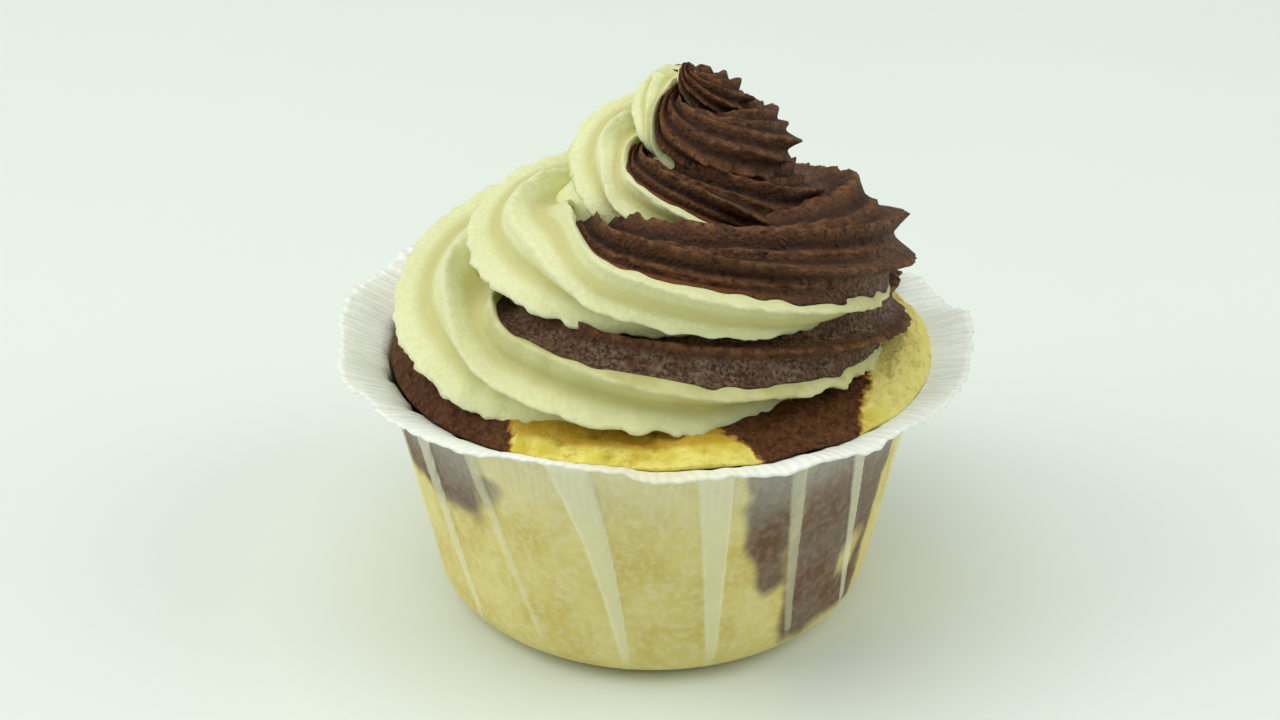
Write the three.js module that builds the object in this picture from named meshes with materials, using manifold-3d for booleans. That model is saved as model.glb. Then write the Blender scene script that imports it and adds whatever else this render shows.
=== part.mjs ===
// A marbled cupcake in a pleated paper case, topped with a swirl piped in two colours.
// Millimetres, Z up, origin on the axis at the base; the front faces -Y.
import * as THREE from 'three';
import Module from 'manifold-3d';

const wasm = await Module();
wasm.setup();

const TURN = 2 * Math.PI;
const DEGREE = Math.PI / 180;
const FRONT = 270 * DEGREE; // azimuth of the front
const GAP = 0.3; // clear space between neighbouring pieces
const SHORTEST_EDGE = 0.004; // shorter edges, left where ropes cross, are closed up

// Paper case
const PAPER = 0.5; // drawn thickness of the paper
const BASE_RADIUS = 25.0; // the wall's radius if carried straight down to the table
const WALL_FLARE = 0.184; // outward run of the wall for each unit of height
const BOTTOM_ROUND = 5.5; // radius of the rounded bottom edge
const FOLD_HEIGHT = 30.0; // where the wall turns out into the rim
const RIM_RADIUS = 36.3; // mean radius of the rim's free edge
const RIM_HEIGHT = 31.6; // mean height of the rim's free edge
const RIM_TILT = 1.2; // the rim stands higher at the front left and droops at the back right
const RIM_FRONT = 0.5; // and stands up a little more at the front
const RIM_HUMP = 0.7; // where it also rounds over from the fold
const RIM_RAGGED = 0.5; // in and out wander of the free edge
const PLEATS = 17; // tapering folds round the wall
const PLEAT_HEIGHT = 0.7; // how far a fold stands out at the top of the wall
const FIRST_PLEAT = FRONT - 7 * DEGREE; // azimuth of one fold at the foot of the wall
const CRIMPS = 34; // waves round the rim
const CRIMP_HEIGHT = 0.35;
const CASE_COLUMNS = 102;

// Sponge
const CAKE_COLUMNS = 48;
const BULGE_RADIUS = 31.7; // the sponge swells a little over the fold
const FRONT_BULGE = 1.5; // and further over the rim at the front
const LEFT_INSET = 1.8; // but stays inside the fold at the left
const LIP_HEIGHT = 1.5; // height of its widest part over the rim
const SHOULDER_RADIUS = 28.0;
const SHOULDER_HEIGHT = 33.4;
const CROWN_HEIGHT = 35.2;
const CRAG_HEIGHT = 0.25; // unevenness of the open crumb

// Swirl: one fluted rope, half vanilla and half chocolate, wound clockwise to a peak
const START_ANGLE = 70 * DEGREE; // the rope begins at the back right
const TURNS = 4.6;
const TEETH = 8; // ridges left by the star nozzle
const TOOTH_DEPTH = 0.32; // groove depth as a share of the rope's radius
const TOOTH_PHASE = 17 * DEGREE;
const VANILLA_SIDE = 205 * DEGREE; // azimuth of the middle of the vanilla half
const CHOCOLATE_SIDE = VANILLA_SIDE + Math.PI;
const ROPE_WIDE = 1.05; // the rope is pressed wider than tall
const ROPE_TALL = 0.8;
const ROPE_SAG = 0.25; // and fuller below than above
const ROPE_INNER = 1.5; // and its inner half wider than the outer
const SEAM = 0.75 * GAP; // each colour stands back this far from their common seam
const SECTIONS = [20, 16, 12, 10, 8]; // along each length of rope, a little under one turn long
const LENGTH_CONE = 0.02; // turns by which the end of each length runs on, as a cone inside the next
const POINTS_PER_TOOTH = 3;

// Pairs of turn and size along the rope
const PATH_RADIUS = [[0, 21], [0.2, 21.8], [0.36, 20.9], [0.5, 22.4], [0.6, 22.6], [0.7, 21.4], [1.2, 21.2],
  [1.7, 14.8], [2.05, 10.6], [2.2, 10.4], [2.45, 9.4], [2.7, 6.6], [3.2, 7], [3.45, 5], [3.7, 2.2],
  [3.95, 2.6], [4.2, 2.8], [4.45, 1.2], [4.6, 0.6]];
const PATH_HEIGHT = [[0, 35.5], [0.36, 37.3], [0.5, 36.9], [0.7, 37.2], [0.95, 38.6], [1.08, 40.6],
  [1.2, 44.2], [1.45, 46.8], [1.7, 44.6], [1.95, 45], [2.2, 48.2], [2.45, 51.3], [2.7, 53.2], [3.2, 54.8],
  [3.45, 56.6], [3.7, 59.7], [3.95, 59.2], [4.2, 59.6], [4.45, 61.2], [4.6, 62.9]];
const ROPE_RADIUS = [[0, 5.5], [0.25, 7], [0.5, 7.8], [1.2, 7.6], [1.7, 7], [2.2, 6.2], [2.45, 5.8],
  [2.7, 5.8], [3.2, 5.2], [3.45, 4.8], [3.7, 3.6], [3.95, 3.8], [4.2, 3.6], [4.45, 2.6], [4.6, 1]];
const PATH_LEAN = [[0, 0], [0.7, 0], [1.2, 0.5], [2.2, 2.4], [2.7, 3], [3.2, 3.8], [4.6, 4]];
// Pairs of turn and share of the teeth's full depth
const TOOTH_SHARE = [[0, 1], [2.2, 1], [2.9, 0.7], [4.6, 0.6]];
// Pairs of turn and degrees by which each seam is dragged round the rope
const FRONT_DRAG = [[0, 0], [0.54, 0], [0.62, 45], [0.75, 45], [1, 0], [1.48, 0], [1.56, 45], [1.75, 45],
  [2.1, 0], [2.3, -48], [2.37, -24], [2.44, -10], [2.52, -5], [2.58, 40], [2.75, 50], [3, 0], [3.2, -60],
  [3.5, -75], [3.58, 30], [3.68, 15], [3.78, -75], [4.6, -75]];
const BACK_DRAG = [[0, 0], [0.85, 0], [1, 55], [1.35, 55], [1.6, 0]];
// Pairs of height and radius of the buttercream that fills the middle of the swirl
const CORE = [[33, 18], [40, 16.5], [45, 11.5], [50, 7], [55, 4], [58, 2.4], [60.5, 0.8]];
const CORE_LEAN = 4; // it leans right with the upper turns

function keySlope(keys, index) {
  if (index === 0 || index === keys.length - 1) {
    return null;
  }
  const before = (keys[index][1] - keys[index - 1][1]) / (keys[index][0] - keys[index - 1][0]);
  const after = (keys[index + 1][1] - keys[index][1]) / (keys[index + 1][0] - keys[index][0]);
  return before * after > 0 ? 2 * before * after / (before + after) : 0;
}

// Smooth curve through the pairs that never overshoots them
function keyed(keys, at) {
  const last = keys.length - 2;
  const inside = THREE.MathUtils.clamp(at, keys[0][0], keys[last + 1][0]);
  let i = 0;
  while (i < last && inside >= keys[i + 1][0]) {
    i += 1;
  }
  const span = keys[i + 1][0] - keys[i][0];
  const rise = keys[i + 1][1] - keys[i][1];
  const t = (inside - keys[i][0]) / span;
  const slopeIn = (keySlope(keys, i) ?? rise / span) * span;
  const slopeOut = (keySlope(keys, i + 1) ?? rise / span) * span;
  const ease = t * t * (3 - 2 * t);
  return keys[i][1] + rise * ease + slopeIn * t * (1 - t) * (1 - t) - slopeOut * t * t * (1 - t);
}

function smooth(value, from, over) {
  return THREE.MathUtils.smoothstep(value, from, from + over);
}

function polar(radius, angle, height) {
  return new THREE.Vector3(radius * Math.cos(angle), radius * Math.sin(angle), height);
}

function ring(columns, pointAt) {
  const points = [];
  for (let i = 0; i < columns; i += 1) {
    points.push(pointAt(TURN * i / columns));
  }
  return points;
}

function pushBand(faces, lower, upper, lowerCount, upperCount) {
  const count = Math.max(lowerCount, upperCount);
  for (let i = 0; i < count; i += 1) {
    const next = (i + 1) % count;
    const a = lower + i;
    const b = lower + next;
    const c = upper + next;
    const d = upper + i;
    if (lowerCount === 1) {
      faces.push(lower, c, d);
    } else if (upperCount === 1) {
      faces.push(a, b, upper);
    } else {
      faces.push(a, b, c, a, c, d);
    }
  }
}

function signedVolume(points, faces) {
  let sum = 0;
  const normal = new THREE.Vector3();
  for (let i = 0; i < faces.length; i += 3) {
    normal.crossVectors(points[faces[i + 1]], points[faces[i + 2]]);
    sum += points[faces[i]].dot(normal) / 6;
  }
  return sum;
}

// Closed solid through a row of rings; a ring of one point closes an end
function skin(rings) {
  const points = rings.flat();
  const faces = [];
  let start = 0;
  for (let i = 0; i + 1 < rings.length; i += 1) {
    pushBand(faces, start, start + rings[i].length, rings[i].length, rings[i + 1].length);
    start += rings[i].length;
  }
  if (signedVolume(points, faces) < 0) {
    faces.reverse();
  }
  const vertProperties = new Float32Array(points.flatMap((p) => p.toArray()));
  const triVerts = new Uint32Array(faces);
  return new wasm.Manifold(new wasm.Mesh({ numProp: 3, vertProperties, triVerts }));
}

// Number the connected shells of a mesh, one number for each vertex
function shellNumbers(faces, count) {
  const shell = Array.from({ length: count }, (_, index) => index);
  const find = (index) => {
    let at = index;
    while (shell[at] !== at) {
      shell[at] = shell[shell[at]];
      at = shell[at];
    }
    return at;
  };
  for (let i = 0; i < faces.length; i += 3) {
    shell[find(faces[i + 1])] = find(faces[i]);
    shell[find(faces[i + 2])] = find(faces[i]);
  }
  return shell.map((_, index) => find(index));
}

// Faces of the outer skin alone, without sealed pockets or crumbs inside a groove
function outerFaces(faces, count) {
  const shell = shellNumbers(faces, count);
  const sizes = new Map();
  for (let i = 0; i < faces.length; i += 3) {
    sizes.set(shell[faces[i]], (sizes.get(shell[faces[i]]) ?? 0) + 1);
  }
  const largest = [...sizes].sort((a, b) => b[1] - a[1])[0][0];
  return faces.filter((_, index) => shell[faces[index - index % 3]] === largest);
}

function toMesh(solid, name, color, roughness) {
  const mesh = solid.getMesh();
  const faces = outerFaces(mesh.triVerts, mesh.vertProperties.length / 3);
  const geometry = new THREE.BufferGeometry();
  geometry.setAttribute('position', new THREE.BufferAttribute(mesh.vertProperties, 3));
  geometry.setIndex(new THREE.BufferAttribute(faces, 1));
  geometry.computeVertexNormals();
  const result = new THREE.Mesh(geometry, new THREE.MeshStandardMaterial({ color, roughness }));
  result.name = name;
  return result;
}

function wallRadius(height) {
  return BASE_RADIUS + WALL_FLARE * height;
}

// Folds stand out from the wall; they widen and wander sideways on their way up
function pleat(angle, share) {
  const wander = (-7.5 + 5.5 * Math.cos(4 * (angle - FRONT) - 48 * DEGREE)) * DEGREE;
  const wave = 0.5 + 0.5 * Math.cos(PLEATS * (angle - share * wander - FIRST_PLEAT));
  const strength = 0.75 - 0.25 * Math.sin(7 * angle);
  return PLEAT_HEIGHT * share * strength * wave * wave;
}

function roundedBottom(share, inset) {
  const lean = Math.atan(WALL_FLARE);
  const sweep = share * (0.25 * TURN - lean);
  const side = BOTTOM_ROUND * (Math.cos(lean) + Math.sin(lean) * WALL_FLARE);
  const flat = wallRadius(BOTTOM_ROUND) - side;
  const radius = BOTTOM_ROUND - inset;
  return [flat + radius * Math.sin(sweep), BOTTOM_ROUND - radius * Math.cos(sweep)];
}

function bottomRing(share, inset) {
  const [radius, height] = roundedBottom(share, inset);
  return ring(CASE_COLUMNS, (angle) => polar(radius, angle, height));
}

function wallRing(share, inset) {
  const foot = roundedBottom(1, 0)[1];
  const height = foot + share * (FOLD_HEIGHT - foot);
  const out = wallRadius(height) - inset;
  return ring(CASE_COLUMNS, (angle) => polar(out + pleat(angle, share), angle, height));
}

function towardFront(angle) {
  return Math.max(Math.cos(angle - FRONT), 0) ** 2;
}

// Rise of the rim from the fold to its free edge
function rimRise(angle) {
  const tilt = RIM_TILT * Math.cos(angle - 225 * DEGREE);
  return RIM_HEIGHT - FOLD_HEIGHT + tilt + RIM_FRONT * towardFront(angle);
}

function rimHump(share, angle) {
  return RIM_HUMP * towardFront(angle) * Math.sin(Math.PI * share);
}

function rimHeight(radius, angle) {
  const fold = wallRadius(FOLD_HEIGHT);
  const share = (radius - fold) / (RIM_RADIUS - fold);
  return FOLD_HEIGHT + rimRise(angle) * share + rimHump(share, angle);
}

function rimRing(share, lift) {
  return ring(CASE_COLUMNS, (angle) => {
    const ragged = RIM_RAGGED * (Math.sin(5 * angle + 1) + 0.6 * Math.sin(11 * angle));
    const crimp = CRIMP_HEIGHT * Math.cos(CRIMPS * angle) + 0.3 * Math.sin(7 * angle + 2);
    const fold = wallRadius(FOLD_HEIGHT) + pleat(angle, 1) * (1 - share);
    const out = THREE.MathUtils.lerp(fold, RIM_RADIUS + ragged, share);
    const up = FOLD_HEIGHT + share * (rimRise(angle) + crimp) + rimHump(share, angle);
    return polar(out - lift * (1 - share) * 0.7, angle, up + lift);
  });
}

function paperCase() {
  const outside = [bottomRing(0, 0), bottomRing(0.5, 0), bottomRing(1, 0), wallRing(0.5, 0),
    wallRing(1, 0), rimRing(0.5, 0), rimRing(1, 0)];
  const inside = [rimRing(1, PAPER), rimRing(0.5, PAPER), wallRing(1, PAPER), wallRing(0.5, PAPER),
    bottomRing(1, PAPER), bottomRing(0.5, PAPER), bottomRing(0, PAPER)];
  return skin([[polar(0, 0, 0)], ...outside, ...inside, [polar(0, 0, PAPER)]]);
}

function crag(angle, radius) {
  return CRAG_HEIGHT * (Math.sin(9 * angle + 7 * radius) + 0.7 * Math.sin(17 * angle - 5 * radius + 1));
}

function cakeRing(radius, height) {
  return ring(CAKE_COLUMNS, (angle) => polar(radius, angle, height));
}

function cakeWallRings() {
  const inset = PAPER + GAP;
  const rings = [];
  for (const share of [0, 0.5, 1]) {
    rings.push(cakeRing(...roundedBottom(share, inset)));
  }
  for (const share of [0.4, 0.7, 1.01]) {
    const height = share * FOLD_HEIGHT;
    rings.push(cakeRing(wallRadius(height) - inset - 0.1, height));
  }
  return rings;
}

// The widest part of the sponge, which lies just over the rim
function lipRing(inset, height, lift) {
  return ring(CAKE_COLUMNS, (angle) => {
    const left = LEFT_INSET * Math.max(Math.cos(angle - 190 * DEGREE), 0);
    const radius = BULGE_RADIUS + FRONT_BULGE * towardFront(angle) - left - inset;
    return polar(radius + lift, angle, rimHeight(radius, angle) + height + lift);
  });
}

function cakeTopRings(lift) {
  const lip = lipRing(0, LIP_HEIGHT, lift);
  const rings = [lipRing(0.7, PAPER + 2.4 * GAP, 0), lip];
  const steps = 3;
  for (let i = 1; i <= steps; i += 1) {
    const share = i / steps;
    rings.push(lip.map((edge) => {
      const angle = Math.atan2(edge.y, edge.x);
      const radius = THREE.MathUtils.lerp(Math.hypot(edge.x, edge.y), SHOULDER_RADIUS + lift, share);
      const height = THREE.MathUtils.lerp(edge.z, SHOULDER_HEIGHT + lift, Math.sin(0.25 * TURN * share));
      return polar(radius, angle, height + crag(angle, radius - lift));
    }));
  }
  for (const share of [0.3, 0.65]) {
    const height = THREE.MathUtils.lerp(SHOULDER_HEIGHT, CROWN_HEIGHT, Math.sin(0.25 * TURN * share)) + lift;
    rings.push(cakeRing(SHOULDER_RADIUS * (1 - share), height));
  }
  rings.push([polar(0, 0, CROWN_HEIGHT + lift)]);
  return rings;
}

function cake(lift) {
  const base = [polar(0, 0, PAPER + GAP)];
  return skin([base, ...cakeWallRings(), ...cakeTopRings(lift)]);
}

function toothProfile(turn, azimuth) {
  const swing = Math.sin(TEETH * (azimuth - TOOTH_PHASE) / 2);
  return 1 - TOOTH_DEPTH * keyed(TOOTH_SHARE, turn) * Math.sqrt(swing * swing + 0.004);
}

// Angle round the rope's section: 0 below, a quarter turn outward, a half turn on top
function sectionAngle(turn, azimuth) {
  const along = START_ANGLE - TURN * turn;
  const front = 0.5 + 0.5 * Math.cos(azimuth - VANILLA_SIDE - 0.25 * TURN);
  const drag = keyed(FRONT_DRAG, turn) * front ** 2 + keyed(BACK_DRAG, turn) * (1 - front) ** 3;
  return azimuth + drag * DEGREE - along + 0.25 * TURN;
}

// Point of the rope at a turn and a nozzle azimuth; draw shifts it toward its own colour's side
function ropePoint(turn, azimuth, reach, draw, side) {
  const along = START_ANGLE - TURN * turn;
  const size = keyed(ROPE_RADIUS, turn);
  const angle = sectionAngle(turn, azimuth);
  const home = sectionAngle(turn, side);
  const up = -(reach * Math.cos(angle) + draw * Math.cos(home)) * ROPE_TALL;
  const wide = ROPE_WIDE * (1 - ROPE_SAG * up / size);
  const across = (reach * Math.sin(angle) + draw * Math.sin(home)) * wide;
  const path = keyed(PATH_RADIUS, turn);
  const out = across > 0 ? path + across : path * Math.exp(ROPE_INNER * across / path);
  const point = polar(out, along, keyed(PATH_HEIGHT, turn) + up);
  point.x += keyed(PATH_LEAN, turn);
  return point;
}

// Nozzle azimuths across one colour's half, with every crest and groove among them
function strandAzimuths(side) {
  const step = TURN / TEETH / POINTS_PER_TOOTH;
  const from = side - 0.25 * TURN;
  const to = side + 0.25 * TURN;
  const azimuths = [from];
  let at = TOOTH_PHASE + step * Math.ceil((from - TOOTH_PHASE) / step + 0.2);
  while (at < to - 0.2 * step) {
    azimuths.push(at);
    at += step;
  }
  azimuths.push(to);
  // Both colours start from the same edge, so that the faces of their seam are split alike
  return side === VANILLA_SIDE ? azimuths.reverse() : azimuths;
}

function strandSection(turn, side, grow) {
  const size = keyed(ROPE_RADIUS, turn);
  const azimuths = strandAzimuths(side);
  const draw = SEAM - 0.85 * grow;
  const points = [ropePoint(turn, side, 0, draw, side)];
  azimuths.forEach((azimuth, index) => {
    const edge = index === 0 || index === azimuths.length - 1;
    const reach = size * toothProfile(turn, azimuth) + grow;
    points.push(ropePoint(turn, azimuth, reach, edge ? draw : 0, side));
  });
  return points;
}

function strandLength(from, to, count, side, grow) {
  const cone = (turn) => [ropePoint(turn, side, 0.3 * keyed(ROPE_RADIUS, turn), 0, side)];
  const rings = [cone(from - LENGTH_CONE)];
  for (let i = 0; i <= count; i += 1) {
    rings.push(strandSection(THREE.MathUtils.lerp(from, to, i / count), side, grow));
  }
  rings.push(cone(to + LENGTH_CONE));
  return skin(rings);
}

function strand(side, grow) {
  const length = TURNS / SECTIONS.length;
  const lengths = SECTIONS.map((count, i) => strandLength(i * length, (i + 1) * length, count, side, grow));
  return lengths.reduce((whole, next) => whole.add(next));
}

function core(grow) {
  const rings = [[polar(0, 0, CORE[0][0] - grow)]];
  for (const [height, radius] of CORE) {
    const middle = new THREE.Vector3(CORE_LEAN * smooth(height, 38, 20), 0, 0);
    rings.push(ring(16, (angle) => polar(radius + grow, angle, height).add(middle)));
  }
  rings.push([new THREE.Vector3(CORE_LEAN, 0, CORE[CORE.length - 1][0] + 0.5 + grow)]);
  return skin(rings);
}

function swirl() {
  const bed = cake(GAP);
  const brown = strand(CHOCOLATE_SIDE, 0).subtract(core(GAP)).subtract(bed);
  const clearance = strand(CHOCOLATE_SIDE, 1.2 * GAP).subtract(core(0));
  const pale = strand(VANILLA_SIDE, 0).add(core(0)).subtract(clearance).subtract(bed);
  const [vanilla, chocolate] = [pale, brown].map((cream) => cream.asOriginal().simplify(SHORTEST_EDGE));
  return { vanilla, chocolate };
}

const { vanilla, chocolate } = swirl();
const cupcake = new THREE.Group();
cupcake.name = 'cupcake';
cupcake.add(toMesh(paperCase(), 'paper_case', 0xe4e6d2, 0.8));
cupcake.add(toMesh(cake(0), 'cake', 0xcdb455, 0.9));
cupcake.add(toMesh(vanilla, 'buttercream_vanilla', 0xece6b8, 0.6));
cupcake.add(toMesh(chocolate, 'buttercream_chocolate', 0x54342a, 0.7));

export default cupcake;
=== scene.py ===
"""Looks of a marbled cupcake in a pleated paper case with a two-colour piped swirl.

Sizes are in millimetres and meshes in metres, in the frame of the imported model:
the origin is on the axis at the base, Z is up and the front faces -Y.
"""

import math

import bpy
import numpy as np
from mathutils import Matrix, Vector


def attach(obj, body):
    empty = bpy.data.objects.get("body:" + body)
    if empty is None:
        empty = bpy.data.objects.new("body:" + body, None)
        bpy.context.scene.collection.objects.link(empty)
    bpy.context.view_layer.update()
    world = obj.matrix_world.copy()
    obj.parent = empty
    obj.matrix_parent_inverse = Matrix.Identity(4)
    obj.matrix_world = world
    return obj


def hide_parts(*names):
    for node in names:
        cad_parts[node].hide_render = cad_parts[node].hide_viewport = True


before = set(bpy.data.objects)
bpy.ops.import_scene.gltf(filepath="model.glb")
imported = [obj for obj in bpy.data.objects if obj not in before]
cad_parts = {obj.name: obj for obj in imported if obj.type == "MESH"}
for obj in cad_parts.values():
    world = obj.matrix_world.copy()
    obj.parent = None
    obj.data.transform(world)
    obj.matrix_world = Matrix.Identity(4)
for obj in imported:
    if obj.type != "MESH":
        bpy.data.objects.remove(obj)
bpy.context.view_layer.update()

MM = 0.001
TURN = 2 * math.pi
FRONT = 0.75 * TURN  # azimuth that faces the camera

# Paper case
PAPER = 0.22
BASE_RADIUS = 25.0
WALL_FLARE = 0.184
BOTTOM_ROUND = 5.5
FOLD_HEIGHT = 30.0
RIM_RADIUS = 36.3
RIM_HEIGHT = 31.6
RIM_TILT = 1.2
RIM_FRONT = 0.5  # the rim stands up a little more at the front
RIM_HUMP = 0.7  # height of its rounded fold at the front
RIM_RAGGED = 0.5
PLEATS = 17
PLEAT_HEIGHT = 0.55
FIRST_PLEAT = FRONT - math.radians(7)
CRIMPS = 102
RIM_VEIL = 0.09  # whiteness of the fold, which fades out down the wall
FRONT_TINT = 0.95  # share of the whiteness that the outside of the rim loses at the front
FRONT_TINT_INSIDE = 0.86  # the same for its inside
CASE_COLUMNS = 816

# Sponge
CAKE_INSET = 0.9
CAKE_FOOT = 0.8  # distance from the rounded bottom of the case
BULGE_RADIUS = 31.7
FRONT_BULGE = 1.5  # it swells further over the rim at the front
LEFT_INSET = 1.8  # and stays inside the fold at the left
LIP_HEIGHT = 0.4  # height of the widest part over the rim
LIP_OVERHANG = 0.2
SHOULDER_RADIUS = 28.0
SHOULDER_HEIGHT = 33.4
CROWN_HEIGHT = 35.2
CAKE_COLUMNS = 420

# Swirl: one fluted rope, half vanilla and half chocolate, wound clockwise to a peak
START_ANGLE = math.radians(70)
TURNS = 4.6
TEETH = 8
TOOTH_DEPTH = 0.32
TOOTH_PHASE = math.radians(17)
FRONT_SEAM = math.radians(295)  # azimuths where the two colours meet
BACK_SEAM = math.radians(115)
ROPE_WIDE = 1.05
ROPE_TALL = 0.8
ROPE_SAG = 0.25
ROPE_INNER = 1.5  # the inner half is pressed wider
ROPE_STEP = 0.45  # length of rope between sections
ARC_POINTS = 80  # points across one colour's half of a section
INNER_SHARES = (0.35, 0.7)  # places of the points on the hidden inner faces, from the rope's middle
LOWER_TURNS = (41, 50)  # heights between which the looks of the lower turns fade out
UPPER_TURNS = (44, 48)  # heights between which small ridges rise in the chocolate grooves
LOWEST_CREAM = (34.5, 37.5)  # heights between which the ruffle of the lowest edge fades out

# Pairs of turn and size along the rope
PATH_RADIUS = [(0, 21), (0.2, 21.8), (0.36, 20.9), (0.5, 22.4), (0.6, 22.6), (0.7, 21.4), (1.2, 21.2),
               (1.7, 14.8), (2.05, 10.6), (2.2, 10.4), (2.45, 9.4), (2.7, 6.6), (3.2, 7), (3.45, 5),
               (3.7, 2.2), (3.95, 2.6), (4.2, 2.8), (4.45, 1.2), (4.6, 0.6)]
PATH_HEIGHT = [(0, 35.5), (0.36, 37.3), (0.5, 36.9), (0.7, 37.2), (0.95, 38.6), (1.08, 40.6), (1.2, 44.2),
               (1.45, 46.8), (1.7, 44.6), (1.95, 45), (2.2, 48.2), (2.45, 51.3), (2.7, 53.2), (3.2, 54.8),
               (3.45, 56.6), (3.7, 59.7), (3.95, 59.2), (4.2, 59.6), (4.45, 61.2), (4.6, 62.9)]
ROPE_RADIUS = [(0, 5.5), (0.25, 7), (0.5, 7.8), (1.2, 7.6), (1.7, 7), (2.2, 6.2), (2.45, 5.8), (2.7, 5.8),
               (3.2, 5.2), (3.45, 4.8), (3.7, 3.6), (3.95, 3.8), (4.2, 3.6), (4.45, 2.6), (4.6, 1)]
PATH_LEAN = [(0, 0), (0.7, 0), (1.2, 0.5), (2.2, 2.4), (2.7, 3), (3.2, 3.8), (4.6, 4)]
# Pairs of turn and share of the teeth's full depth
TOOTH_SHARE = [(0, 1), (2.2, 1), (2.9, 0.7), (4.6, 0.6)]
# Pairs of turn and degrees by which each seam is dragged round the rope
FRONT_DRAG = [(0, 0), (0.54, 0), (0.62, 45), (0.75, 45), (1.0, 0), (1.48, 0), (1.56, 45), (1.75, 45),
              (2.1, 0), (2.3, -48), (2.37, -24), (2.44, -10), (2.52, -5), (2.58, 40), (2.75, 50), (3.0, 0),
              (3.2, -60), (3.5, -75), (3.58, 30), (3.68, 15), (3.78, -75), (4.6, -75)]
BACK_DRAG = [(0, 0), (0.85, 0), (1.0, 55), (1.35, 55), (1.6, 0), (3.75, 0), (3.9, 60), (4.25, 60), (4.4, 0)]
# Pairs of height and radius of the buttercream that fills the middle of the swirl
CORE = [(34, 17), (40, 16.5), (45, 14.5), (49, 12), (52, 9.5), (55, 7.2), (57.3, 3), (58.3, 1)]
CORE_LEAN = 4.0
CORE_ROWS = 60
CORE_COLUMNS = 160

# Camera
VIEW_ELEVATION = math.radians(27.022)
VIEW_DISTANCE = 220.0
VIEW_TARGET = (-1.469, 0.0, 27.606)
VIEW_LENS = 53.49
SENSOR_WIDTH = 36.0

# Stage, in metres and watts
FLOOR_REACH = 3.0
LIGHT_COLOUR = (1.0, 1.0, 0.98)
WORLD_STRENGTH = 0.4


def smooth(value, low, high):
    """Ease from 0 at one limit to 1 at the other."""
    t = np.clip((value - low) / (high - low), 0, 1)
    return t * t * (3 - 2 * t)


def keyed(keys, at):
    """Smooth curve through the pairs that never overshoots them."""
    x = np.array([key[0] for key in keys], float)
    y = np.array([key[1] for key in keys], float)
    span = np.diff(x)
    slope = np.diff(y) / span
    product = slope[:-1] * slope[1:]
    total = slope[:-1] + slope[1:]
    safe = np.where(product > 0, total, 1)
    inner = np.where(product > 0, 2 * product / safe, 0)
    tangent = np.concatenate([slope[:1], inner, slope[-1:]])
    at = np.clip(at, x[0], x[-1])
    i = np.clip(np.searchsorted(x, at, side="right") - 1, 0, len(span) - 1)
    t = (at - x[i]) / span[i]
    rise = y[i + 1] - y[i]
    bend = tangent[i] * t * (1 - t) ** 2 - tangent[i + 1] * t ** 2 * (1 - t)
    return y[i] + rise * t * t * (3 - 2 * t) + bend * span[i]


def lattice(cells, seed):
    """Repeatable number from -1 to 1 for each integer cell."""
    mixed = cells.astype(np.int64) @ np.array([374761393, 668265263, 1442695041]) + seed * 974634777
    mixed = (mixed ^ (mixed >> 13)) * 1274126177 & 0x7FFFFFFF
    mixed = (mixed ^ (mixed >> 15)) & 0xFFFF
    return mixed / 32767.5 - 1


def noise(points, size, seed):
    """Soft random field with features of the given size."""
    scaled = points / size
    cell = np.floor(scaled)
    part = scaled - cell
    part = part * part * (3 - 2 * part)
    result = np.zeros(points.shape[:-1])
    for corner in np.ndindex(2, 2, 2):
        weight = np.prod(np.where(np.array(corner) == 1, part, 1 - part), axis=-1)
        result += weight * lattice(cell + np.array(corner), seed)
    return result


def layered(points, size, seed):
    """Coarse and fine noise together."""
    return 0.6 * noise(points, size, seed) + 0.4 * noise(points, 0.45 * size, seed + 1)


def ring_noise(angle, size, seed):
    """Noise round a circle of 30 mm radius."""
    angle = np.asarray(angle, float)
    circle = np.stack([30 * np.cos(angle), 30 * np.sin(angle), 0 * angle], axis=-1)
    return noise(circle, size, seed)


def polar(radius, angle, height):
    """Points at a distance and an azimuth round the axis."""
    radius, angle, height = np.broadcast_arrays(radius, angle, height)
    return np.stack([radius * np.cos(angle), radius * np.sin(angle), height], axis=-1)


def skin_faces(rows, columns):
    """Quads between rows of points, and a fan of triangles to a point at each end."""
    row = np.arange(rows - 1)[:, None] * columns + 1
    here = np.arange(columns)[None, :]
    following = (here + 1) % columns
    quads = np.stack([row + here, row + following, row + columns + following, row + columns + here], -1)
    faces = quads.reshape(-1, 4).tolist()
    last = 1 + (rows - 1) * columns
    end = rows * columns + 1
    for i in range(columns):
        j = (i + 1) % columns
        faces.append((0, j + 1, i + 1))
        faces.append((last + i, last + j, end))
    return faces


def skin(name, first, rings, last, marks, material, node):
    """Closed mesh through rings of points that stands for a CAD node."""
    rows, columns = rings.shape[:2]
    points = np.concatenate([[first], rings.reshape(-1, 3), [last]]) * MM
    mesh = bpy.data.meshes.new(name)
    mesh.from_pydata(points.tolist(), [], skin_faces(rows, columns))
    for mark, values in marks.items():
        layer = mesh.attributes.new(mark, "FLOAT", "POINT")
        inner = np.broadcast_to(values, (rows, columns)).reshape(-1)
        layer.data.foreach_set("value", np.concatenate([inner[:1], inner, inner[-1:]]).astype(np.float32))
    mesh.shade_smooth()
    mesh.materials.append(material)
    piece = bpy.data.objects.new(name, mesh)
    bpy.context.scene.collection.objects.link(piece)
    turn_outward(mesh)
    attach(piece, "root")
    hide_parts(node)


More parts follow.
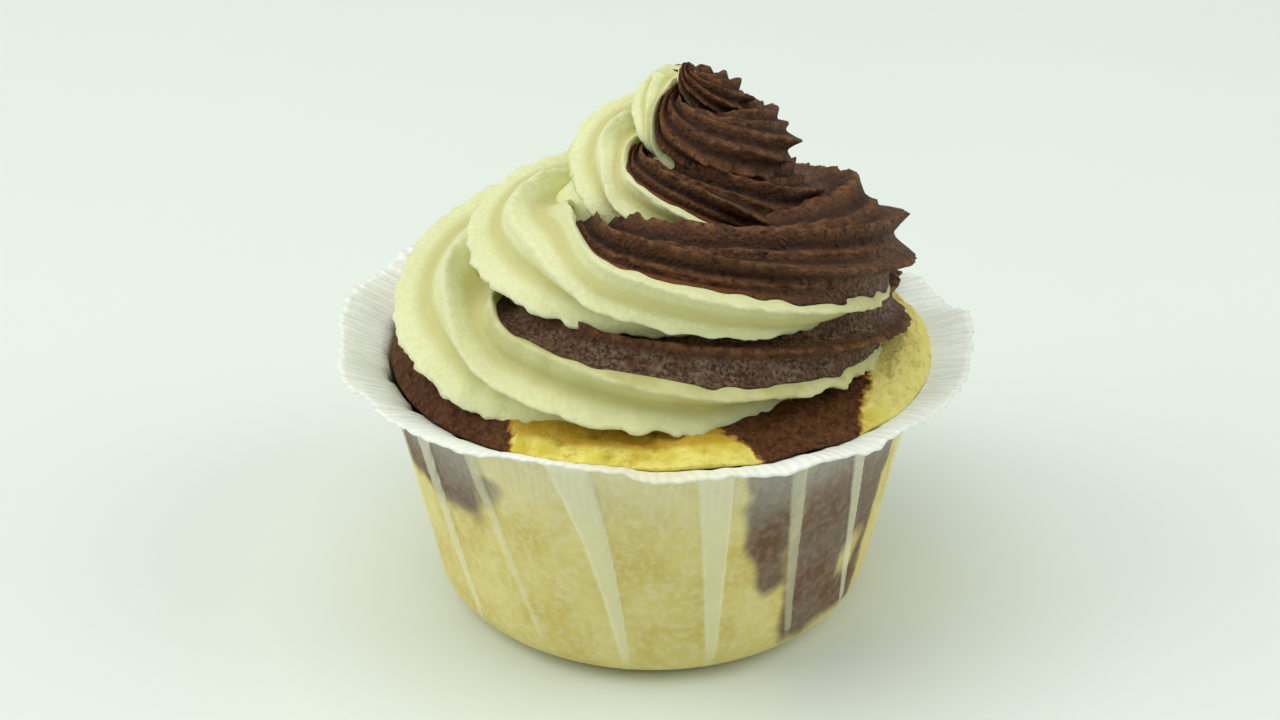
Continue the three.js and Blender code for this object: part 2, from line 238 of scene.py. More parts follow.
def turn_outward(mesh):
    """Turn the faces of a mesh round if its volume is negative."""
    corners = np.empty(len(mesh.vertices) * 3)
    mesh.vertices.foreach_get("co", corners)
    corners = corners.reshape(-1, 3)
    mesh.calc_loop_triangles()
    faces = np.empty(len(mesh.loop_triangles) * 3, dtype=np.int32)
    mesh.loop_triangles.foreach_get("vertices", faces)
    a, b, c = corners[faces.reshape(-1, 3)].transpose(1, 0, 2)
    if np.einsum("ij,ij->", a, np.cross(b, c)) < 0:
        mesh.flip_normals()


# Where the dark sponge lies, by angle from the front and by height


def angle_from_front(angle):
    """Degrees from -180 to 180, zero at the front."""
    return (np.degrees(angle - FRONT) + 180) % 360 - 180


def patch(angle, low, high, soft):
    """One inside a range of degrees from the front and zero outside."""
    return smooth(angle, low - soft, low + soft) * (1 - smooth(angle, high - soft, high + soft))


def dark_top(angle, points):
    """One where the top of the sponge is dark and zero where it is yellow."""
    degrees = angle_from_front(angle) + 4 * layered(points, 4, 31)
    out = np.hypot(points[..., 0], points[..., 1]) - 30.5
    front = patch(degrees, -100, -30 + out, 2) + patch(degrees, 15.5 + out, 47 - 3 * out, 2)
    back = patch(degrees, 112, 141, 2) + patch(degrees, -158, -128, 2)
    return np.clip(front + back, 0, 1)


def dark_wall(angle, height, points):
    """One where dark sponge shows through the wall of the case."""
    degrees = angle_from_front(angle) + 3 * layered(points, 5, 33)
    height = height + 1.5 * layered(points, 6, 35)
    left = patch(degrees, -80, -40, 4) * smooth(height, 17, 22)
    spot = 0.7 * patch(degrees, -39, -34, 2.5) * smooth(height, 21, 23) * (1 - smooth(height, 25, 27))
    tongue = patch(degrees, 17 + 6 * (30 - height) / 18, 31.5, 3) * smooth(height, 9.5, 13.5)
    wide = patch(degrees, 33, 62, 3) * smooth(height, 1, 5)
    belt = smooth(height, 6, 11) * (1 - smooth(height, 12, 17))
    wedge = 0.75 * patch(degrees, 46 + height / 3, 54 + height / 3, 4) * belt
    back = patch(degrees, 108, 143, 4) * smooth(height, 8, 12)
    behind = patch(degrees, -160, -124, 4) * smooth(height, 14, 18)
    return np.clip(left + spot + tongue + wide * (1 - wedge) + back + behind, 0, 1)


# Paper case


def wall_radius(height):
    """Outside radius of the wall, away from the pleats."""
    return BASE_RADIUS + WALL_FLARE * height


def rounded_bottom(share):
    """Radius and height along the round edge between the base and the wall."""
    lean = math.atan(WALL_FLARE)
    sweep = share * (0.25 * TURN - lean)
    side = BOTTOM_ROUND * math.cos(lean) + BOTTOM_ROUND * math.sin(lean) * WALL_FLARE
    flat = wall_radius(BOTTOM_ROUND) - side
    return flat + BOTTOM_ROUND * np.sin(sweep), BOTTOM_ROUND - BOTTOM_ROUND * np.cos(sweep)


def pleat_phase(angle, share):
    """Place across the pleats, in pleats; they wander sideways on their way up the wall."""
    wander = np.radians(-7.5 + 5.5 * np.cos(4 * (angle - FRONT) - math.radians(48)))
    return (angle - share * wander - FIRST_PLEAT) * PLEATS / TURN


def pleat(angle, share):
    """Marks of the doubled strip of a pleat, wide at the top and narrow at the foot, and of its edges."""
    phase = pleat_phase(angle, share)
    number = np.round(phase)
    strength = 0.72 + 0.28 * np.sin(2.4 * number + 0.5)
    half = (0.045 + 0.09 * share) * (0.9 + 0.3 * np.sin(1.7 * number))
    across = phase - number
    rise = smooth(across, -half - 0.05, -half + 0.01)
    fall = 1 - smooth(across, half - 0.01, half + 0.02)
    crease = np.exp(-((np.abs(across) - half) / 0.012) ** 2)
    return strength * rise * fall, strength * crease


def case_profile():
    """Rows of the outside from the flat base to the rim's edge: kind and place within the kind."""
    rows = [("base", share) for share in np.linspace(0.2, 0.95, 5)]
    rows += [("round", share) for share in np.linspace(0, 1, 12)]
    rows += [("wall", share) for share in np.linspace(0.02, 1, 44)]
    rows += [("rim", share) for share in np.linspace(0.06, 1, 16)]
    return rows


def toward_front(angle):
    """One at the front, zero at the sides and behind."""
    return np.maximum(np.cos(angle - FRONT), 0) ** 2


def rim_slope(angle):
    """Rise of the rim from the fold to its free edge."""
    tilt = RIM_TILT * np.cos(angle - math.radians(225))
    return RIM_HEIGHT - FOLD_HEIGHT + tilt + RIM_FRONT * toward_front(angle)


def rim_hump(share, angle):
    """Height of the rounded fold that the rim has at the front."""
    return RIM_HUMP * toward_front(angle) * np.sin(math.pi * share)


def rim_row(share, angle):
    """Radius and height of the rim at a share of its width from the fold."""
    circle = polar(RIM_RADIUS, angle, 0)
    ragged = RIM_RAGGED * (np.sin(5 * angle + 1) + 0.6 * np.sin(11 * angle)) + 0.25 * noise(circle, 1.5, 3)
    phase = pleat_phase(angle, 1)
    calm = 1 - 0.7 * toward_front(angle)
    wave = 0.45 * calm * np.cos(TURN * phase) + 0.35 * noise(circle, 4, 5) + 0.3 * np.sin(7 * angle + 2)
    crimp = 0.16 * calm * np.cos(CRIMPS * angle + 1.5 * noise(circle, 9, 7))
    fold = wall_radius(FOLD_HEIGHT) + PLEAT_HEIGHT * pleat(angle, 1)[0] * (1 - share)
    out = fold + (RIM_RADIUS + ragged - fold) * share
    up = FOLD_HEIGHT + share * (rim_slope(angle) + wave + crimp) + rim_hump(share, angle)
    return out, up


def case_row(kind, share, angle):
    """Radius, height, pleat mark and crease mark of one row of the outside."""
    none = np.zeros_like(angle)
    if kind == "base":
        return share * rounded_bottom(0)[0] + none, none, none, none
    if kind == "round":
        out, up = rounded_bottom(share)
        mark, crease = pleat(angle, 0)
        return out + 0.07 * share * mark, up + none, 0.6 * share * mark, 0.6 * share * crease
    if kind == "wall":
        foot = rounded_bottom(1)[1]
        height = foot + share * (FOLD_HEIGHT - foot)
        mark, crease = pleat(angle, share)
        stand = (0.12 + 0.88 * share) * PLEAT_HEIGHT * mark
        wrinkle = 0.12 * layered(polar(30, angle, 0.6 * height + none), 3, 9)
        return wall_radius(height) + stand + wrinkle, height + none, mark, crease
    out, up = rim_row(share, angle)
    mark, crease = pleat(angle, 1)
    return out, up, mark * (1 - share), crease * (1 - share)


def rim_white(kind, share, angle):
    """Whiteness of one row of the outside."""
    if kind == "rim":
        return RIM_VEIL + share * (1 - FRONT_TINT * toward_front(angle))
    veil = RIM_VEIL * smooth(share, 0.5, 1) if kind == "wall" else 0.0
    return np.full_like(angle, veil)


def inside_row(out, up, angle):
    """Row of the inside, set in from the wall and up from the base and the rim by the paper's thickness."""
    steep = smooth(up, 5, 8) * (1 - smooth(out, 30.2, 31.5))
    return polar(out - PAPER * steep, angle, up + PAPER * (1 - steep))


def paper_case(material):
    """Outside from the base to the rim's edge, then the inside back to the base."""
    angle = np.arange(CASE_COLUMNS) * TURN / CASE_COLUMNS
    rings = []
    marks = {"pleat": [], "crease": [], "rim": [], "dark": []}
    for kind, share in case_profile():
        out, up, mark, crease = case_row(kind, share, angle)
        points = polar(out, angle, up)
        rings.append(points)
        marks["pleat"].append(mark)
        marks["crease"].append(crease)
        marks["rim"].append(rim_white(kind, share, angle))
        marks["dark"].append(dark_wall(angle, up, points) * (kind != "rim"))
    for kind, share in case_profile()[::-2]:
        out, up, mark, crease = case_row(kind, share, angle)
        rings.append(inside_row(out, up, angle))
        marks["pleat"].append(mark)
        marks["crease"].append(crease)
        marks["rim"].append(smooth(out, 30, 32) * (1 - FRONT_TINT_INSIDE * toward_front(angle)))
        marks["dark"].append(np.zeros_like(angle))
    marks = {mark: np.array(values) for mark, values in marks.items()}
    first = (0, 0, 0)
    last = (0, 0, PAPER)
    skin("paper_case_visual", first, np.array(rings), last, marks, material, "paper_case")


# Sponge


def rim_top(radius, angle):
    """Height of the rim's upper face at a distance from the axis."""
    fold = wall_radius(FOLD_HEIGHT)
    share = (radius - fold) / (RIM_RADIUS - fold)
    return rim_row(share, angle)[1] + PAPER


def cake_rows(angle):
    """Radius, height and share of open crumb of each row of the sponge, from the base to the crown."""
    none = 0 * angle
    rows = []
    for share in (0, 0.5, 1):
        radius, height = rounded_bottom(share)
        rows.append((radius - CAKE_FOOT + none, height + CAKE_FOOT + none, 0))
    for height in np.linspace(10, FOLD_HEIGHT + 0.2, 6):
        rows.append((wall_radius(height) - CAKE_INSET + none, height + none, 0))
    inner, rise, closed = rows[-1]
    left = LEFT_INSET * np.maximum(np.cos(angle - math.radians(190)), 0)
    widest = BULGE_RADIUS + FRONT_BULGE * toward_front(angle) - left
    under = rim_top(widest - LIP_OVERHANG, angle) + 0.05
    lip = rim_top(widest, angle) + LIP_HEIGHT
    for share in np.linspace(0.2, 1, 6):
        rows.append((inner + (widest - LIP_OVERHANG - inner) * share, rise + (under - rise) * share, closed))
    for share in np.linspace(0.15, 1, 6):
        rows.append((widest - LIP_OVERHANG * (1 - share) ** 2, under + (lip - under) * share, 0.5 * share))
    for share in np.linspace(0.03, 1, 32):
        radius = widest + (SHOULDER_RADIUS - widest) * share
        height = lip + (SHOULDER_HEIGHT - lip) * np.sin(0.25 * TURN * share)
        rows.append((radius, height, min(0.5 + 2 * share, 1)))
    for share in np.linspace(0.05, 0.95, 12):
        height = SHOULDER_HEIGHT + (CROWN_HEIGHT - SHOULDER_HEIGHT) * math.sin(0.25 * TURN * share)
        rows.append((SHOULDER_RADIUS * (1 - share) + none, height + none, 1))
    return rows


def crumb(points, open_crumb):
    """Relief of the crumb: a soft unevenness with small holes in it."""
    holes = smooth(noise(points, 1.2, 43), 0.3, 0.8)
    fine = smooth(noise(points, 0.6, 44), 0.3, 0.8)
    lumps = 0.45 * layered(points, 4.5, 45) + 0.25 * layered(points, 2.0, 41)
    return open_crumb * (lumps - 0.35 * holes - 0.18 * fine)


def cake(material):
    """Sponge with its crumb, which swells over the rim at the front."""
    angle = np.arange(CAKE_COLUMNS) * TURN / CAKE_COLUMNS
    rows = cake_rows(angle)
    radius = np.array([row[0] for row in rows])
    height = np.array([row[1] for row in rows])
    points = polar(radius, angle, height)
    open_crumb = np.array([row[2] for row in rows])[:, None]
    relief = crumb(points, open_crumb)
    points = polar(radius + 0.6 * relief, angle, height + relief)
    pale = np.maximum(0.8 * patch(angle_from_front(angle), 48, 105, 6), 0.4 * smooth(radius, 31.6, 33))
    marks = {
        "dark": dark_top(angle, points),
        "hole_shade": smooth(-relief, 0.05, 0.35),
        # Painted shade in the dents of the crumb.
        "pale": pale,
        # Amber next to the cream: partly browning, partly a painted shadow under the cream.
        "baked_and_cream_shadow": 1 - smooth(radius, 29.6, 31.0),
    }
    first = (0, 0, height[0, 0])
    last = (0, 0, CROWN_HEIGHT)
    skin("cake_visual", first, points, last, marks, material, "cake")


# Swirl


def rope_turns():
    """Turns of the sections, evenly spaced along the outside of the rope."""
    fine = np.linspace(0, TURNS, 4000)
    outside = keyed(PATH_RADIUS, fine) + keyed(ROPE_RADIUS, fine)
    length = np.concatenate([[0], np.cumsum(outside[1:] * np.diff(fine) * TURN)])
    count = int(length[-1] / ROPE_STEP)
    return np.interp(np.linspace(0, length[-1], count), length, fine)


def rope_point(turn, azimuth, reach):
    """Point of the rope at a turn and a nozzle azimuth, at a distance from the rope's middle."""
    along = START_ANGLE - TURN * turn
    size = keyed(ROPE_RADIUS, turn)
    path = keyed(PATH_RADIUS, turn)
    front = 0.5 + 0.5 * np.cos(azimuth - FRONT_SEAM)
    drag = np.radians(keyed(FRONT_DRAG, turn) * front ** 2 + keyed(BACK_DRAG, turn) * (1 - front) ** 3)
    angle = azimuth + drag - along + 0.25 * TURN
    up = -reach * np.cos(angle) * ROPE_TALL
    across = reach * np.sin(angle) * ROPE_WIDE * (1 - ROPE_SAG * up / size)
    inner = ROPE_INNER * np.minimum(across, 0)
    out = np.where(across > 0, path + across, path * np.exp(inner / path))
    point = polar(out, along, keyed(PATH_HEIGHT, turn) + up)
    point[..., 0] += keyed(PATH_LEAN, turn)
    return point


def ragged(turn, seed):
    """Small turns of a seam to and fro along the rope."""
    along = np.stack([turn * 140, 0 * turn, 0 * turn], axis=-1)
    return math.radians(2.2) * noise(along, 1.6, seed) + math.radians(2.5) * noise(along, 7, seed + 1)


def front_seam(turn):
    """Azimuth where vanilla ends and chocolate begins, on the side of the camera."""
    return FRONT_SEAM + ragged(turn, 21)


def back_seam(turn):
    """Azimuth where chocolate ends and vanilla begins, on the far side."""
    return BACK_SEAM + ragged(turn, 23)


def tooth(turn, azimuth):
    """Distance across the teeth: 0 on a crest and 1 or -1 in a groove."""
    along = np.stack([turn * 60, azimuth * 4, 0 * turn], axis=-1)
    return np.sin(TEETH * (azimuth - TOOTH_PHASE) / 2 + 0.18 * noise(along, 5, 11))


def smoothed_groove(turn, azimuth):
    """Share by which one vanilla groove is pressed flat on the front of the second turn."""
    where = np.exp(-((azimuth - math.radians(264)) / math.radians(20)) ** 2)
    return 0.6 * where * smooth(turn, 1.05, 1.25) * (1 - smooth(turn, 1.55, 1.7))


def strand_reach(turn, azimuth):
    """Distance of the fluted surface from the middle of the rope, and how far each point is from a crest."""
    swing = tooth(turn, azimuth)
    along = np.stack([turn * 60, azimuth * 6, 0 * turn], axis=-1)
    depth = TOOTH_DEPTH * keyed(TOOTH_SHARE, turn) * (1 + 0.3 * noise(along, 8, 13))
    depth = depth * (1 - smoothed_groove(turn, azimuth))
    size = keyed(ROPE_RADIUS, turn) * (1 + 0.02 * noise(along, 9, 15))
    return size * (1 - depth * np.sqrt(swing ** 2 + 0.003)), np.abs(swing)


def vanilla_relief(points, swing):
    """Smooth cream whose crests are finely torn: its relief, crests and grooves."""
    crest = 1 - smooth(swing, 0.05, 0.4)
    torn = crest * (0.3 * noise(points, 1.4, 51) + 0.26 * noise(points, 0.75, 52))
    ruffle = 0.5 * noise(points, 2.2, 54) + 0.35 * noise(points, 1.1, 55)
    lowest = ruffle * (1 - smooth(points[..., 2], *LOWEST_CREAM))
    return torn + lowest + 0.1 * layered(points, 2.4, 53), crest, swing ** 2


def chocolate_relief(points, swing):
    """Rough cream with pitted faces and ragged crests: its relief, crests and grooves.

    In the upper turns a small ridge stands in each groove.
    """
    upper = smooth(points[..., 2], *UPPER_TURNS)
    ridge = upper * smooth(swing, 0.86, 0.98)
    crest = np.maximum(1 - smooth(swing, 0.05, 0.4), 0.7 * ridge)
    torn = crest * (0.4 * noise(points, 1.7, 61) + 0.34 * noise(points, 0.85, 62))
    pits = smooth(noise(points, 1.0, 63), 0.45, 0.85)
    between = 2 * swing * np.sqrt(np.maximum(1 - swing ** 2, 0))
    halved = (0.2 + 0.45 * upper) * between - 0.55 * upper * swing ** 8
    groove = swing ** 2 * (1 - upper) + between ** 2 * upper
    return torn + 0.2 * layered(points, 1.7, 64) - 0.3 * pits - halved, crest, groove


def beside_front_seam(azimuth):
    """One at the seam that faces the camera, falling to zero on the far side of the rope."""
    away = (np.degrees(azimuth - FRONT_SEAM) + 180) % 360 - 180
    return np.exp(-(away / 45) ** 2)


def strand(name, turn, low, high, relief_of, material, node):
    """One colour of the rope, between two seams."""
    azimuth = low + (high - low) * np.linspace(0, 1, ARC_POINTS)[None, :]
    turns = turn + 0 * azimuth
    reach, swing = strand_reach(turns, azimuth)
    points = rope_point(turns, azimuth, reach)
    relief, crest, groove = relief_of(points, swing)
    fade = smooth(TURNS - turns, 0, 0.1)
    outside = rope_point(turns, azimuth, reach + relief * fade)
    chord = []
    for share in (*INNER_SHARES[::-1], 0.0):
        chord.append(rope_point(turn, high, share * reach[:, -1:]))
    for share in INNER_SHARES:
        chord.append(rope_point(turn, low, share * reach[:, :1]))
    rings = np.concatenate([outside, *chord], axis=1)
    hidden = np.zeros((len(turn), len(chord)))
    marks = {
        "crest": np.concatenate([crest, hidden], axis=1),
        "groove": np.concatenate([groove, hidden + 1], axis=1),
        "low": np.concatenate([1 - smooth(points[..., 2], *LOWER_TURNS), hidden], axis=1),
        "seam": np.concatenate([beside_front_seam(azimuth) + 0 * turn, hidden], axis=1),
    }
    first = rings[0].mean(axis=0)
    last = rings[-1].mean(axis=0)
    skin(name, first, rings, last, marks, material, node)


def core(material):
    """Vanilla between the turns, which shows only at the bottom of the gaps."""
    angle = np.arange(CORE_COLUMNS) * TURN / CORE_COLUMNS
    rows = []
    for height in np.linspace(CORE[0][0], CORE[-1][0], CORE_ROWS):
        radius = keyed(CORE, height) + 0.5 * ring_noise(angle, 6, 71)
        row = polar(radius, angle, height)
        row[:, 0] += CORE_LEAN * smooth(height, 38, 58)
        rows.append(row)
    rings = np.array(rows)
    rings[..., 2] += 0.3 * noise(rings, 3, 72)
    marks = {"crest": 0.0, "groove": 0.3}
    first = rings[0].mean(axis=0)
    last = rings[-1].mean(axis=0)
    skin("vanilla_core_visual", first, rings, last, marks, material, "buttercream_vanilla")


def swirl():
    """The filled middle and the two colours of the rope round it."""
    turn = rope_turns()[:, None]
    front = front_seam(turn)
    back = back_seam(turn)
    vanilla = vanilla_material()
    core(vanilla)
    strand("vanilla_visual", turn, back, front, vanilla_relief, vanilla, "buttercream_vanilla")
    chocolate = chocolate_material()
    strand("chocolate_visual", turn, front, back + TURN, chocolate_relief, chocolate,
           "buttercream_chocolate")


# Materials


def linear(red, green, blue):
    """Screen colour from 0 to 255 as the linear colour that shaders use."""
    channels = np.array([red, green, blue]) / 255
    low = channels / 12.92
    high = ((channels + 0.055) / 1.055) ** 2.4
    return (*np.where(channels <= 0.04045, low, high).tolist(), 1.0)


class Shader:
    """One Principled material and short ways to add nodes to it."""

    def __init__(self, name, roughness):
        self.material = bpy.data.materials.new(name)
        self.material.use_nodes = True
        self.nodes = self.material.node_tree.nodes
        self.links = self.material.node_tree.links
        self.surface = self.nodes["Principled BSDF"]
        self.surface.inputs["Roughness"].default_value = roughness
        self.place = self.nodes.new("ShaderNodeTexCoord").outputs["Object"]

    def mark(self, name):
        """Value that the mesh carries at its points."""
        node = self.nodes.new("ShaderNodeAttribute")
        node.attribute_name = name
        return node.outputs["Fac"]

    def noise(self, size, detail=3.0):
        node = self.nodes.new("ShaderNodeTexNoise")
        node.inputs["Scale"].default_value = 1 / (size * MM)
        node.inputs["Detail"].default_value = detail
        self.links.new(self.place, node.inputs["Vector"])
        return node.outputs["Fac"]

    def rays(self, count):
        """Uneven wave from -1 to 1 round the upright axis."""
        parts = self.nodes.new("ShaderNodeSeparateXYZ")
        self.links.new(self.place, parts.inputs["Vector"])
        angle = self.math("ARCTAN2", parts.outputs["Y"], parts.outputs["X"])
        drift = self.range(self.noise(9), 0, 1, 0, 14)
        phase = self.math("ADD", self.math("MULTIPLY", angle, float(count)), drift)
        strength = self.range(self.noise(4), 0.3, 0.7, 0.2, 1.0)
        return self.math("MULTIPLY", self.math("SINE", phase, 0.0), strength)

    def range(self, value, low, high, to_low=0.0, to_high=1.0):
        node = self.nodes.new("ShaderNodeMapRange")
        node.interpolation_type = "SMOOTHSTEP"
        self.links.new(value, node.inputs["Value"])
        limits = {"From Min": low, "From Max": high, "To Min": to_low, "To Max": to_high}
        for socket, number in limits.items():
            node.inputs[socket].default_value = number
        return node.outputs["Result"]

    def math(self, operation, first, second):
        node = self.nodes.new("ShaderNodeMath")
        node.operation = operation
        for socket, value in zip(node.inputs, (first, second)):
            if isinstance(value, float):
                socket.default_value = value
            else:
                self.links.new(value, socket)
        return node.outputs["Value"]

    def mix(self, amount, first, second):
        node = self.nodes.new("ShaderNodeMix")
        node.data_type = "RGBA"
        self.links.new(amount, node.inputs["Factor"])
        for socket, colour in zip((node.inputs[6], node.inputs[7]), (first, second)):
            if isinstance(colour, tuple):
                socket.default_value = colour
            else:
                self.links.new(colour, socket)
        return node.outputs[2]

    def colour(self, colour):
        self.links.new(colour, self.surface.inputs["Base Color"])

    def roughness(self, value):
        self.links.new(value, self.surface.inputs["Roughness"])

    def bump(self, height, depth, strength=1.0):
        node = self.nodes.new("ShaderNodeBump")
        node.inputs["Distance"].default_value = depth * MM
        node.inputs["Strength"].default_value = strength
        self.links.new(height, node.inputs["Height"])
        self.links.new(node.outputs["Normal"], self.surface.inputs["Normal"])

    def soften(self, weight, depth):
        """Light that travels a little way under the surface."""
        self.surface.inputs["Subsurface Weight"].default_value = weight
        self.surface.inputs["Subsurface Radius"].default_value = (1.0, 0.8, 0.45)
        self.surface.inputs["Subsurface Scale"].default_value = depth * MM


def vanilla_material():
    """Pale cream with painted shade in the grooves and painted highlights on the crests, duller beside the
    lower seams, partly from smeared chocolate and partly from painted shade.
    """
    shader = Shader("vanilla_buttercream", 0.5)
    cream = shader.mix(shader.noise(6), linear(230, 233, 174), linear(240, 243, 196))
    # Darker, more olive in the grooves: painted shade.
    painted_groove_shade = shader.mix(shader.range(shader.mark("groove"), 0.3, 1.0, 0, 0.7), cream, linear(202, 194, 112))
    # Paler on the crests: painted highlight.
    edge = shader.range(shader.mark("crest"), 0.3, 1.0, 0, 0.4)
    pale = shader.mix(edge, painted_groove_shade, linear(240, 242, 206))
    # Duller near the front seam on the lower turns: partly chocolate smeared in at the seam, partly painted
    # shade on the lower faces there.
    seam_tint_patches = shader.range(shader.noise(3, 4), 0.3, 0.7, 0.5, 0.9)
    lower = shader.range(shader.mark("low"), 0.4, 1.0, 0.3, 1.0)
    seam_smear_and_shade = shader.math("MULTIPLY", shader.math("MULTIPLY", shader.mark("seam"), lower), seam_tint_patches)
    tinted = shader.mix(seam_smear_and_shade, pale, linear(184, 180, 112))
    grain = shader.range(shader.noise(0.5, 3), 0.35, 0.65, 0, 0.2)
    shader.colour(shader.mix(grain, tinted, linear(200, 194, 124)))
    shader.roughness(shader.range(shader.noise(2.5), 0.3, 0.7, 0.42, 0.62))
    shader.bump(shader.noise(0.45, 4), 0.16, 0.8)
    shader.soften(0.2, 1.3)
    return shader.material


def chocolate_colour(shader):
    """Brown with lighter reddish flecks that are partly grain and partly painted highlights, a grey bloom on
    the lower faces, tan lumps of painted highlight on the crests and painted shade in the grooves above.
    """
    brown = shader.mix(shader.noise(3, 4), linear(58, 30, 13), linear(90, 53, 29))
    # Lighter reddish flecks: partly grain of the cream, partly painted highlights.
    grain = shader.range(shader.noise(0.4, 3), 0.4, 0.62, 0, 0.5)
    speckled = shader.mix(grain, brown, linear(112, 72, 43))
    faces = shader.math("MULTIPLY", shader.mark("low"), shader.range(shader.mark("groove"), 0.05, 0.5))
    patches = shader.math("MULTIPLY", faces, shader.range(shader.noise(2.6, 3), 0.35, 0.65, 0.4, 1.0))
    bloom = shader.math("MULTIPLY", patches, shader.range(shader.noise(0.45, 4), 0.36, 0.64, 0.0, 0.8))
    grey = shader.mix(bloom, speckled, linear(150, 130, 110))
    # Tan patches on the crests: painted highlight.
    lumps = shader.range(shader.noise(1.3, 3), 0.42, 0.62, 0.1, 0.65)
    tan = shader.mix(shader.math("MULTIPLY", shader.mark("crest"), lumps), grey, linear(150, 102, 62))
    upper = shader.range(shader.mark("low"), 0.0, 0.6, 0.7, 0.0)
    # Darker grooves in the upper turns: painted shade.
    painted_groove_shade = shader.math("MULTIPLY", upper, shader.range(shader.mark("groove"), 0.5, 1.0))
    shaded = shader.mix(painted_groove_shade, tan, linear(38, 19, 9))
    edge = shader.math("MULTIPLY", upper, shader.range(shader.mark("seam"), 0.985, 1.0))
    return shader.mix(edge, shaded, linear(140, 80, 32))


def chocolate_material():
    """Rough brown cream with small dark pores."""
    shader = Shader("chocolate_buttercream", 0.75)
    pores = shader.range(shader.noise(0.8, 2), 0.6, 0.68, 0, 0.75)
    shader.colour(shader.mix(pores, chocolate_colour(shader), linear(30, 14, 6)))
    shader.roughness(shader.range(shader.noise(1.5), 0.3, 0.7, 0.6, 0.85))
    shader.bump(shader.noise(0.45, 4), 0.6, 1.0)
    shader.surface.inputs["Specular IOR Level"].default_value = 0.3
    return shader.material


def sponge_material():
    """Yellow and dark crumb with a browned border between them, amber near the cream that is partly browning
    and partly a painted shadow, painted glints on the dark crumb and painted shade in the dents.
    """
    shader = Shader("marbled_sponge", 0.85)
    soft = shader.range(shader.noise(2.2, 5), 0.35, 0.65)
    light = shader.mix(soft, linear(216, 196, 74), linear(238, 225, 116))
    spots = shader.range(shader.noise(3, 5), 0.55, 0.72, 0, 0.3)
    # Amber spots at random, and amber next to the cream that is partly browning and partly a painted shadow
    # under it.
    amber = shader.math("MAXIMUM", spots, shader.range(shader.mark("baked_and_cream_shadow"), 0.0, 1.0, 0, 0.8))
    baked_and_cream_shadow = shader.mix(amber, light, linear(190, 146, 38))
    yellow = shader.mix(shader.mark("pale"), baked_and_cream_shadow, linear(236, 227, 136))
    crumbs = shader.range(shader.noise(0.6, 5), 0.35, 0.65)
    moist = shader.mix(crumbs, linear(64, 33, 12), linear(96, 57, 29))
    # Orange-brown specks on the dark crumb: painted glints of its moist surface.
    painted_glint_specks = shader.range(shader.noise(0.35, 2), 0.6, 0.7, 0, 0.4)
    dark = shader.mix(painted_glint_specks, moist, linear(150, 98, 58))
    wander = shader.range(shader.noise(0.9, 4), 0.25, 0.75, -0.3, 0.3)
    blur = shader.math("ADD", shader.mark("dark"), wander)
    border = shader.mix(shader.range(blur, 0.1, 0.5), yellow, linear(176, 126, 46))
    both = shader.mix(shader.range(blur, 0.4, 0.75), border, dark)
    # Darker amber in the dents of the crumb: painted shade.
    holes = shader.range(shader.mark("hole_shade"), 0.2, 1.0, 0, 0.2)
    shader.colour(shader.mix(holes, both, linear(140, 98, 34)))
    shader.roughness(shader.range(shader.noise(0.7), 0.35, 0.65, 0.5, 0.9))
    shader.bump(shader.noise(0.4, 5), 0.3, 1.0)
    shader.surface.inputs["Specular IOR Level"].default_value = 0.2
    shader.soften(0.1, 0.8)
    return shader.material


def wall_colour(shader):
    """Thin paper with the sponge showing through, paler where a pleat doubles it."""
    fibre = shader.range(shader.noise(0.9, 6), 0.4, 0.7, 0, 0.4)
    clouds = shader.range(shader.noise(6, 4), 0.3, 0.7)
    cloud = shader.mix(clouds, linear(214, 194, 104), linear(230, 216, 138))
    beige = shader.mix(fibre, cloud, linear(238, 231, 186))
    damp = shader.range(shader.noise(7, 3), 0.4, 0.6)
    stain = shader.mix(damp, linear(106, 72, 46), linear(116, 98, 80))
    brown = shader.mix(fibre, stain, linear(156, 140, 116))
    wander = shader.range(shader.noise(2.4, 3), 0.25, 0.75, -0.12, 0.12)
    blur = shader.math("ADD", shader.mark("dark"), wander)
    through = shader.mix(shader.range(blur, 0.1, 0.9), beige, brown)
    strip = shader.range(shader.mark("pleat"), 0.1, 0.7, 0, 0.55)
    doubled = shader.mix(strip, through, linear(240, 240, 204))
    line = shader.range(shader.mark("crease"), 0.2, 1.0, 0, 0.5)
    return shader.mix(line, doubled, linear(250, 248, 224))


def paper_material():
    """White crimped rim, with painted shading along its crimps, above a wall tinted by the sponge behind it.
    """
    shader = Shader("pressed_paper", 0.7)
    # Fine radial light and dark streaks on the rim: painted shading of its crimps.
    painted_crimp_shade = shader.range(shader.rays(210), -0.6, 0.9, 0.0, 0.7)
    white = shader.mix(painted_crimp_shade, linear(252, 254, 248), linear(232, 239, 224))
    shader.colour(shader.mix(shader.range(shader.mark("rim"), 0.0, 0.25), wall_colour(shader), white))
    rough = shader.math("MULTIPLY", shader.rays(210), shader.range(shader.mark("rim"), 0.1, 0.3, 0, 0.5))
    shader.bump(shader.math("ADD", rough, shader.noise(1.0, 5)), 0.15, 0.9)
    return shader.material


# Scene


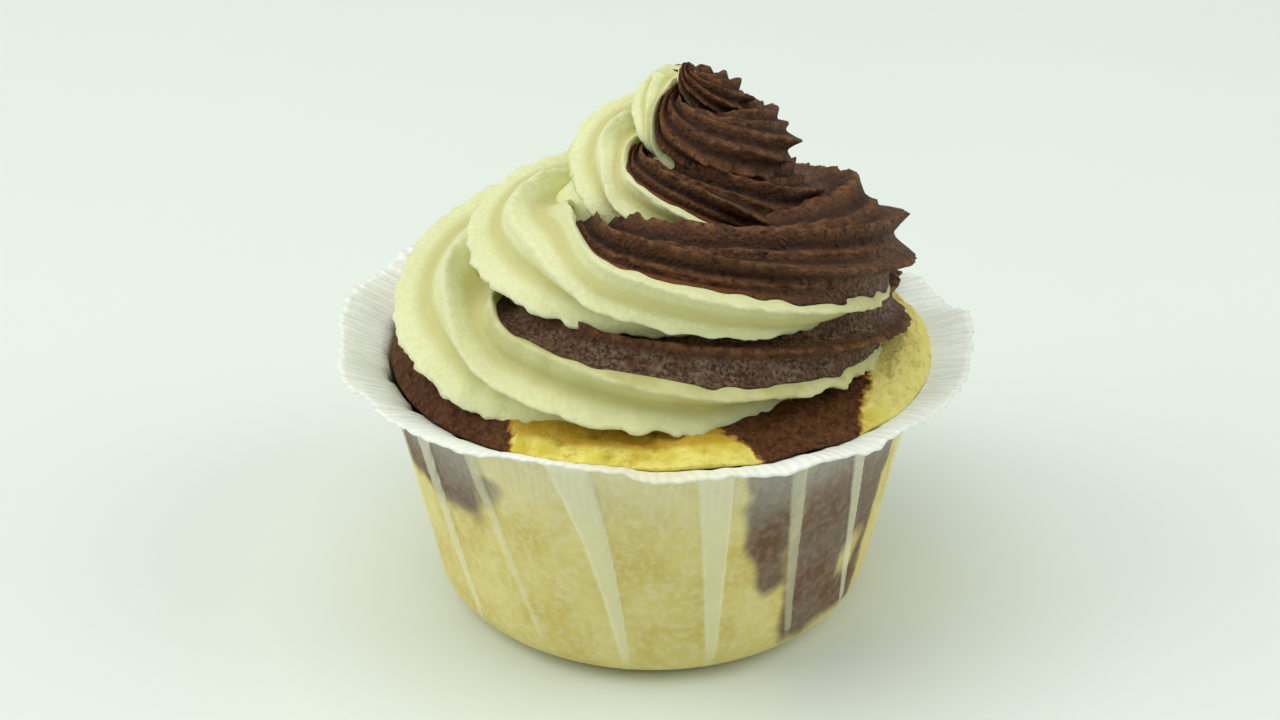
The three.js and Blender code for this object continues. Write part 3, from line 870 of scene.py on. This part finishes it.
def floor():
    mesh = bpy.data.meshes.new("floor")
    corners = [(x * FLOOR_REACH, y * FLOOR_REACH, 0) for x, y in ((-1, -1), (1, -1), (1, 1), (-1, 1))]
    mesh.from_pydata(corners, [], [(0, 1, 2, 3)])
    shader = Shader("pale_floor", 0.6)
    shader.colour(shader.mix(shader.noise(60), linear(231, 238, 231), linear(234, 241, 234)))
    mesh.materials.append(shader.material)
    plane = bpy.data.objects.new("floor", mesh)
    bpy.context.scene.collection.objects.link(plane)


def soft_light(name, place, size, power):
    """Round lamp that shines on the cupcake."""
    lamp = bpy.data.lights.new(name, "AREA")
    lamp.shape = "DISK"
    lamp.size = size
    lamp.energy = power
    lamp.color = LIGHT_COLOUR
    light = bpy.data.objects.new(name, lamp)
    light.location = place
    light.rotation_euler = (-Vector(place)).to_track_quat("-Z", "Y").to_euler()
    bpy.context.scene.collection.objects.link(light)


def lights():
    soft_light("overhead", (-0.25, 0.0, 1.25), 1.4, 7.4)
    soft_light("left", (-1.0, -0.15, 0.75), 1.0, 5.5)
    soft_light("right", (1.0, -0.15, 0.75), 1.0, 5.1)
    world = bpy.data.worlds.new("studio")
    world.use_nodes = True
    background = world.node_tree.nodes["Background"]
    background.inputs["Color"].default_value = linear(238, 246, 240)
    background.inputs["Strength"].default_value = WORLD_STRENGTH
    bpy.context.scene.world = world
    bpy.context.scene.view_settings.view_transform = "Standard"


def camera():
    lens = bpy.data.cameras.new("camera")
    lens.sensor_width = SENSOR_WIDTH
    lens.lens = VIEW_LENS
    lens.clip_start = 0.01
    eye = bpy.data.objects.new("camera", lens)
    away = Vector((0, -math.cos(VIEW_ELEVATION), math.sin(VIEW_ELEVATION)))
    eye.location = (Vector(VIEW_TARGET) + away * VIEW_DISTANCE) * MM
    eye.rotation_euler = (math.pi / 2 - VIEW_ELEVATION, 0, 0)
    bpy.context.scene.collection.objects.link(eye)
    bpy.context.scene.camera = eye


camera()
floor()
lights()
paper_case(paper_material())
cake(sponge_material())
swirl()
